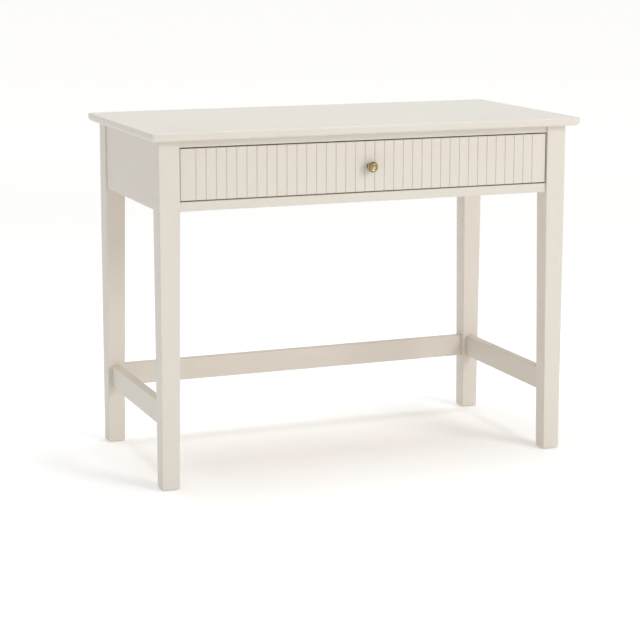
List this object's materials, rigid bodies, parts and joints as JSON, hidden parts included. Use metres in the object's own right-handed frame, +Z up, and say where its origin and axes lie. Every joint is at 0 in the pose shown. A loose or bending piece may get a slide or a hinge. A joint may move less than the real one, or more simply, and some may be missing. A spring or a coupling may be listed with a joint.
{
  "type": "writing desk",
  "caption": "Small writing desk on four tapered square legs, with a wide drawer whose front has fine vertical grooves and a round knob, and a low stretcher frame.",
  "frame": {"origin": "on the floor, under the centre of the desktop", "axes": "+X to the sitter's right along the desk's length, +Y to the back, +Z up; the drawer opens along -Y"},
  "size_m": [1, 0.5, 0.765],
  "materials": {
    "painted_wood": "satin",
    "bare_wood": "matte",
    "plywood": "matte",
    "brass": "antique satin",
    "slide_steel": "zinc plated",
    "screw_steel": "zinc plated",
    "cam_metal": "die cast, satin",
    "cap_plastic": "matte",
    "glide_plastic": "matte"
  },
  "bodies": {
    "frame": {"back_rail": "painted_wood", "back_stretcher": "painted_wood", "bracket_screws": "screw_steel", "cam_bolts": "screw_steel", "cam_cover_caps": "cap_plastic", "cam_locks": "cam_metal", "desktop": "painted_wood", "desktop_brackets": "slide_steel", "desktop_screws": "screw_steel", "floor_glides": "glide_plastic", "front_bottom_rail": "painted_wood", "front_top_rail": "painted_wood", "leg_front_left": "painted_wood", "leg_front_right": "painted_wood", "leg_rear_left": "painted_wood", "leg_rear_right": "painted_wood", "rail_dowels": "bare_wood", "runner_rail_left": "bare_wood", "runner_rail_right": "bare_wood", "runner_screws": "screw_steel", "side_rail_left": "painted_wood", "side_rail_right": "painted_wood", "side_stretcher_left": "painted_wood", "side_stretcher_right": "painted_wood", "slide_outer_left": "slide_steel", "slide_outer_right": "slide_steel", "slide_outer_screws": "screw_steel", "stretcher_dowels": "bare_wood"},
    "drawer": {"drawer_front": "painted_wood", "drawer_side_left": "bare_wood", "drawer_side_right": "bare_wood", "drawer_back": "bare_wood", "drawer_bottom": "plywood", "drawer_bottom_brace": "bare_wood", "knob": "brass", "knob_screw": "screw_steel", "slide_inner_left": "slide_steel", "slide_inner_right": "slide_steel", "drawer_dowels": "bare_wood", "drawer_cam_bolts": "screw_steel", "drawer_cam_locks": "cam_metal", "drawer_bottom_screws": "screw_steel", "slide_inner_screws": "screw_steel"},
    "slide_middle_left": {"slide_middle_left": "slide_steel"},
    "ball_cage_outer_left": {"ball_cage_outer_left": "slide_steel"},
    "ball_cage_inner_left": {"ball_cage_inner_left": "slide_steel"},
    "slide_middle_right": {"slide_middle_right": "slide_steel"},
    "ball_cage_outer_right": {"ball_cage_outer_right": "slide_steel"},
    "ball_cage_inner_right": {"ball_cage_inner_right": "slide_steel"}
  },
  "joints": [
    {"name": "drawer_slide", "type": "slide", "parent": "frame", "child": "drawer", "axis": [0, -1, 0], "range_m": [0, 0.35]},
    {"name": "slide_middle_left_travel", "type": "slide", "parent": "frame", "child": "slide_middle_left", "axis": [0, -1, 0], "range_m": [0, 0.175]},
    {"name": "ball_cage_outer_left_travel", "type": "slide", "parent": "frame", "child": "ball_cage_outer_left", "axis": [0, -1, 0], "range_m": [0, 0.0875]},
    {"name": "ball_cage_inner_left_travel", "type": "slide", "parent": "frame", "child": "ball_cage_inner_left", "axis": [0, -1, 0], "range_m": [0, 0.2625]},
    {"name": "slide_middle_right_travel", "type": "slide", "parent": "frame", "child": "slide_middle_right", "axis": [0, -1, 0], "range_m": [0, 0.175]},
    {"name": "ball_cage_outer_right_travel", "type": "slide", "parent": "frame", "child": "ball_cage_outer_right", "axis": [0, -1, 0], "range_m": [0, 0.0875]},
    {"name": "ball_cage_inner_right_travel", "type": "slide", "parent": "frame", "child": "ball_cage_inner_right", "axis": [0, -1, 0], "range_m": [0, 0.2625]}
  ],
  "couplings": [
    {"joint": "slide_middle_left_travel", "follows": "drawer_slide", "ratio": 0.5},
    {"joint": "ball_cage_outer_left_travel", "follows": "drawer_slide", "ratio": 0.25},
    {"joint": "ball_cage_inner_left_travel", "follows": "drawer_slide", "ratio": 0.75},
    {"joint": "slide_middle_right_travel", "follows": "drawer_slide", "ratio": 0.5},
    {"joint": "ball_cage_outer_right_travel", "follows": "drawer_slide", "ratio": 0.25},
    {"joint": "ball_cage_inner_right_travel", "follows": "drawer_slide", "ratio": 0.75}
  ]
}
